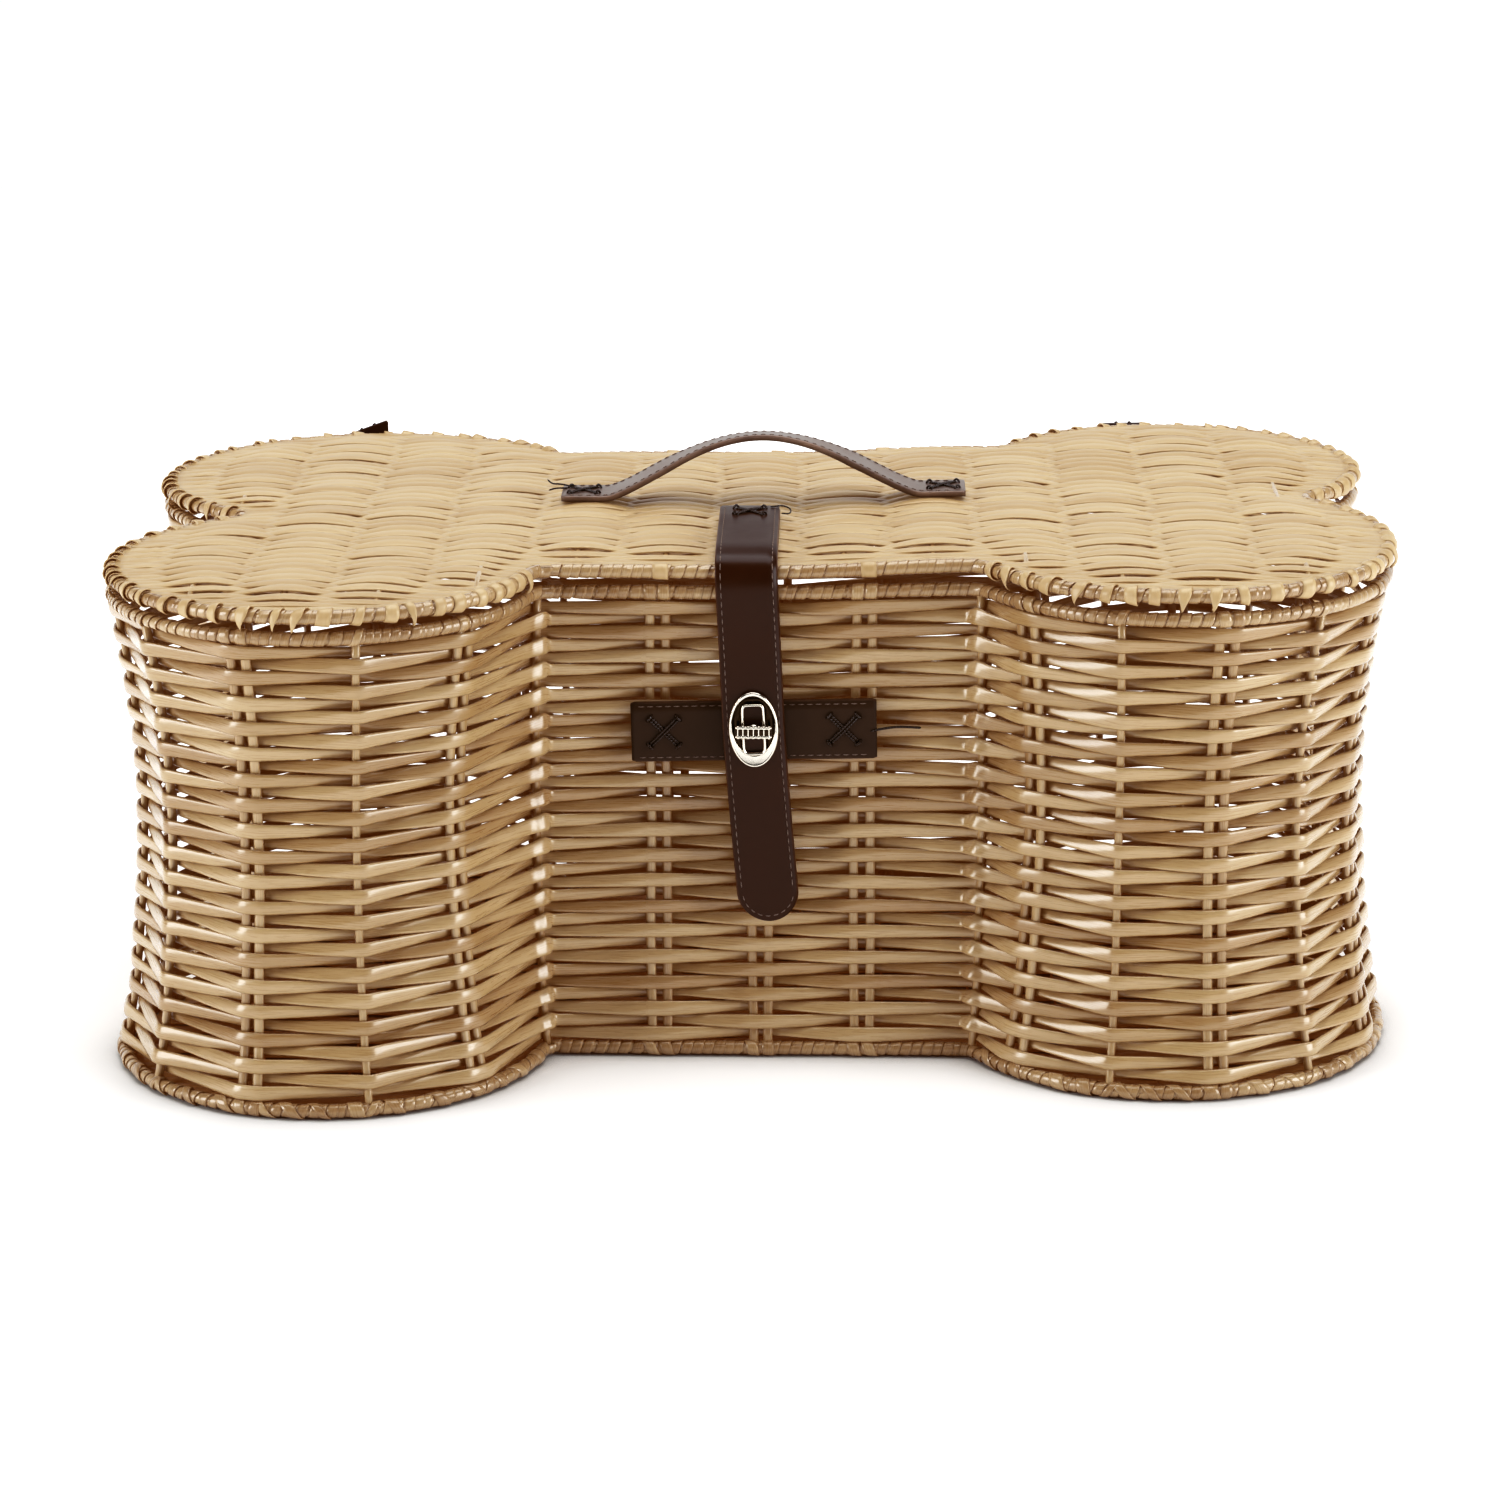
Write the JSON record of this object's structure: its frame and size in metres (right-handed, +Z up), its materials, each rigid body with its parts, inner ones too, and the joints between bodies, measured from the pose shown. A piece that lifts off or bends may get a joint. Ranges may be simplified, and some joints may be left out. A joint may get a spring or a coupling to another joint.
{
  "type": "wicker picnic basket",
  "caption": "Bone-shaped woven picnic basket with a strap-hinged lid, a leather carrying handle and a leather closing strap held by a turn lock.",
  "frame": {"origin": "on the basket's underside, midway between the straight front and back of the waist and midway between the lobes' outer ends", "axes": "+X to the basket's right along its length, +Y to the hinged back, +Z up; the turn lock faces -Y"},
  "size_m": [0.5157, 0.337, 0.2333],
  "materials": {
    "wicker": "flat resin weaver, light tan, satin",
    "wicker_base": "flat resin weaver, light tan, satin",
    "wire": "plain drawn wire",
    "leather": "dark brown, lightly waxed",
    "thread": "waxed thread, nearly black",
    "nickel": "warm nickel plate, polished"
  },
  "bodies": {
    "basket_body": {"side_weave": "wicker", "base_weave": "wicker_base", "body_wire_frame": "wire", "top_rim_binding": "wicker", "bottom_rim_binding": "wicker", "lock_patch": "leather", "patch_stitch_left": "thread", "patch_stitch_right": "thread", "lock_plate": "nickel", "lock_back_washer": "nickel", "hinge_strap_left_body": "leather", "hinge_stitch_left_body": "thread", "hinge_strap_right_body": "leather", "hinge_stitch_right_body": "thread"},
    "lid": {"lid_weave": "wicker", "lid_wire_frame": "wire", "lid_rim_binding": "wicker", "handle_strap": "leather", "handle_stitch_left": "thread", "handle_stitch_right": "thread", "closing_strap": "leather", "closing_strap_stitch": "thread", "hinge_strap_left_lid": "leather", "hinge_stitch_left_lid": "thread", "hinge_strap_right_lid": "leather", "hinge_stitch_right_lid": "thread"},
    "strap_tail": {"closing_strap_tail": "leather", "eyelet_plate": "nickel", "eyelet_back_washer": "nickel"},
    "knob": {"lock_knob": "nickel"}
  },
  "joints": [
    {"name": "lid_hinge", "type": "hinge", "parent": "basket_body", "child": "lid", "pos_m": [0, 0.1553, 0.195], "axis": [-1, 0, 0], "range_deg": [0, 170]},
    {"name": "strap_lift", "type": "hinge", "parent": "lid", "child": "strap_tail", "pos_m": [-0.0029, -0.1083, 0.1993], "axis": [-1, 0, 0], "range_deg": [0, 120]},
    {"name": "knob_turn", "type": "hinge", "parent": "basket_body", "child": "knob", "pos_m": [0, -0.108, 0.138], "axis": [0, 1, 0], "range_deg": [0, 90]}
  ]
}
